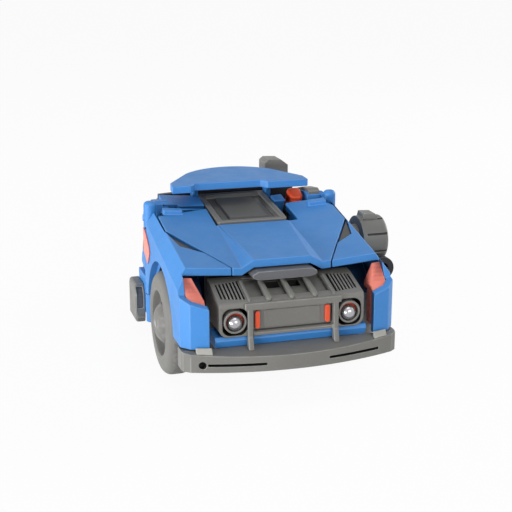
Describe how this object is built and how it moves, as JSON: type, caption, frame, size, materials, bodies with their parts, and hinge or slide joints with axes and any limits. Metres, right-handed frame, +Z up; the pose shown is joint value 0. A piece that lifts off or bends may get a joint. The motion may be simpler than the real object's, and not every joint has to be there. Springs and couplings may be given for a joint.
{
  "type": "transforming robot car",
  "caption": "Toy car with an angular nose, round lamps, slatted grille pod and bowed bumper, folding open into a robot with swinging fenders, hinged panels and sliding legs.",
  "frame": {"origin": "mouth of the 5 mm stand port, on the chassis underside, on the centre plane midway between the axles", "axes": "+X to the right-hand side seen from the front, -Y forwards (the nose), +Z up; the floor is 8 mm below the origin"},
  "size_m": [0.0722, 0.1215, 0.0521],
  "materials": {
    "blue_plastic": "semi-gloss moulded blue ABS",
    "grey_plastic": "satin mid-grey ABS",
    "dark_plastic": "satin dark grey ABS",
    "black_plastic": "dark grey, slightly glossy",
    "light_grey_plastic": "light grey ABS",
    "orange_plastic": "orange-red ABS",
    "coral_plastic": "coral ABS, slightly translucent",
    "red_plastic": "red lamp plastic",
    "silver_lens": "silver-painted ball lens",
    "wheel_plastic": "satin grey wheel plastic",
    "steel": "plain steel pin"
  },
  "bodies": {
    "chassis": {"chassis": "dark_plastic", "chassis_screws": "steel", "bumper": "grey_plastic", "bumper_tabs": "light_grey_plastic", "valance": "blue_plastic", "grille_pod": "grey_plastic", "grille_frame": "grey_plastic", "grille_fins": "grey_plastic", "grille_plate": "grey_plastic", "grille_lamps": "orange_plastic", "headlight_rings": "grey_plastic", "headlight_reflectors": "orange_plastic", "headlight_lenses": "silver_lens", "air_scoop": "grey_plastic", "rail_strips": "grey_plastic", "bonnet_pins": "steel", "roof_pin": "steel", "side_intake_left": "grey_plastic", "side_intake_right": "grey_plastic", "cabin_rail_left": "blue_plastic", "cabin_rail_right": "blue_plastic"},
    "bonnet": {"bonnet": "blue_plastic"},
    "windscreen": {"windscreen_frame": "grey_plastic", "windscreen_panel": "black_plastic"},
    "roof": {"roof_panel": "blue_plastic", "windscreen_pin": "steel"},
    "blaster": {"blaster_drum": "grey_plastic", "blaster_barrel": "dark_plastic"},
    "head": {"head_helmet": "blue_plastic", "head_visor": "orange_plastic"},
    "fender_left": {"fender_left": "blue_plastic", "marker_lamps_left": "coral_plastic", "vent_insert_left": "black_plastic", "front_axle_left": "steel"},
    "front_wheel_left": {"front_wheel_left": "wheel_plastic"},
    "door_left": {"door_left": "blue_plastic"},
    "forearm_left": {"forearm_left": "dark_plastic"},
    "hand_left": {"hand_left": "orange_plastic"},
    "leg_left": {"leg_left": "blue_plastic", "rear_window_left": "black_plastic", "rear_axle_left": "steel"},
    "rear_wheel_left": {"rear_wheel_left": "wheel_plastic"},
    "foot_left": {"foot_left": "blue_plastic", "tail_light_left": "red_plastic"},
    "fender_right": {"fender_right": "blue_plastic", "marker_lamps_right": "coral_plastic", "vent_insert_right": "black_plastic", "front_axle_right": "steel"},
    "front_wheel_right": {"front_wheel_right": "wheel_plastic"},
    "door_right": {"door_right": "blue_plastic"},
    "forearm_right": {"forearm_right": "dark_plastic"},
    "hand_right": {"hand_right": "orange_plastic"},
    "leg_right": {"leg_right": "blue_plastic", "rear_window_right": "black_plastic", "rear_axle_right": "steel", "deck_block": "grey_plastic"},
    "rear_wheel_right": {"rear_wheel_right": "wheel_plastic"},
    "foot_right": {"foot_right": "blue_plastic", "tail_light_right": "red_plastic"}
  },
  "joints": [
    {"name": "bonnet_hinge", "type": "hinge", "parent": "chassis", "child": "bonnet", "pos_m": [0, -0.0105, 0.0304], "axis": [-1, 0, 0], "range_deg": [0, 45]},
    {"name": "windscreen_hinge", "type": "hinge", "parent": "roof", "child": "windscreen", "pos_m": [0, 0.0038, 0.0346], "axis": [-1, 0, 0], "range_deg": [0, 20]},
    {"name": "roof_hinge", "type": "hinge", "parent": "chassis", "child": "roof", "pos_m": [0, 0.0099, 0.0386], "axis": [-1, 0, 0], "range_deg": [0, 70]},
    {"name": "neck_hinge", "type": "hinge", "parent": "chassis", "child": "head", "pos_m": [0, 0.0036, 0.0234], "axis": [1, 0, 0], "range_deg": [0, 40]},
    {"name": "fender_swing_right", "type": "hinge", "parent": "chassis", "child": "fender_right", "pos_m": [0.0282, -0.0089, 0.02], "axis": [0, 0, 1], "range_deg": [0, 60]},
    {"name": "front_wheel_spin_right", "type": "hinge", "parent": "fender_right", "child": "front_wheel_right", "pos_m": [0.02655, -0.029, 0.0069], "axis": [1, 0, 0], "continuous": true},
    {"name": "door_hinge_right", "type": "hinge", "parent": "chassis", "child": "door_right", "pos_m": [0.0272, -0.0047, 0.02], "axis": [0, 0, -1], "range_deg": [0, 75]},
    {"name": "elbow_right", "type": "hinge", "parent": "chassis", "child": "forearm_right", "pos_m": [0.0189, 0.0044, 0.023], "axis": [-1, 0, 0], "range_deg": [0, 20]},
    {"name": "wrist_right", "type": "hinge", "parent": "forearm_right", "child": "hand_right", "pos_m": [0.0189, -0.00016, 0.03122], "axis": [0, -0.4848, 0.8746], "range_deg": [-90, 90]},
    {"name": "leg_slide_right", "type": "slide", "parent": "chassis", "child": "leg_right", "axis": [0, 1, 0], "range_m": [0, 0.018]},
    {"name": "rear_wheel_spin_right", "type": "hinge", "parent": "leg_right", "child": "rear_wheel_right", "pos_m": [0.0175, 0.029, 0.0069], "axis": [1, 0, 0], "continuous": true},
    {"name": "foot_hinge_right", "type": "hinge", "parent": "leg_right", "child": "foot_right", "pos_m": [0.011, 0.0495, 0.0036], "axis": [-1, 0, 0], "range_deg": [0, 75]},
    {"name": "fender_swing_left", "type": "hinge", "parent": "chassis", "child": "fender_left", "pos_m": [-0.0282, -0.0089, 0.02], "axis": [0, 0, -1], "range_deg": [0, 60]},
    {"name": "front_wheel_spin_left", "type": "hinge", "parent": "fender_left", "child": "front_wheel_left", "pos_m": [-0.02655, -0.029, 0.0069], "axis": [1, 0, 0], "continuous": true},
    {"name": "door_hinge_left", "type": "hinge", "parent": "chassis", "child": "door_left", "pos_m": [-0.0272, -0.0047, 0.02], "axis": [0, 0, 1], "range_deg": [0, 75]},
    {"name": "elbow_left", "type": "hinge", "parent": "chassis", "child": "forearm_left", "pos_m": [-0.0189, 0.0044, 0.0176], "axis": [-1, 0, 0], "range_deg": [0, 20]},
    {"name": "wrist_left", "type": "hinge", "parent": "forearm_left", "child": "hand_left", "pos_m": [-0.0189, -0.00016, 0.02582], "axis": [0, -0.4848, 0.8746], "range_deg": [-90, 90]},
    {"name": "leg_slide_left", "type": "slide", "parent": "chassis", "child": "leg_left", "axis": [0, 1, 0], "range_m": [0, 0.018]},
    {"name": "rear_wheel_spin_left", "type": "hinge", "parent": "leg_left", "child": "rear_wheel_left", "pos_m": [-0.0175, 0.029, 0.0069], "axis": [1, 0, 0], "continuous": true},
    {"name": "foot_hinge_left", "type": "hinge", "parent": "leg_left", "child": "foot_left", "pos_m": [-0.011, 0.0495, 0.0036], "axis": [-1, 0, 0], "range_deg": [0, 75]},
    {"name": "blaster_turn", "type": "hinge", "parent": "fender_right", "child": "blaster", "pos_m": [0.03, -0.022, 0.0264], "axis": [-1, 0, 0], "range_deg": [-90, 90]}
  ]
}
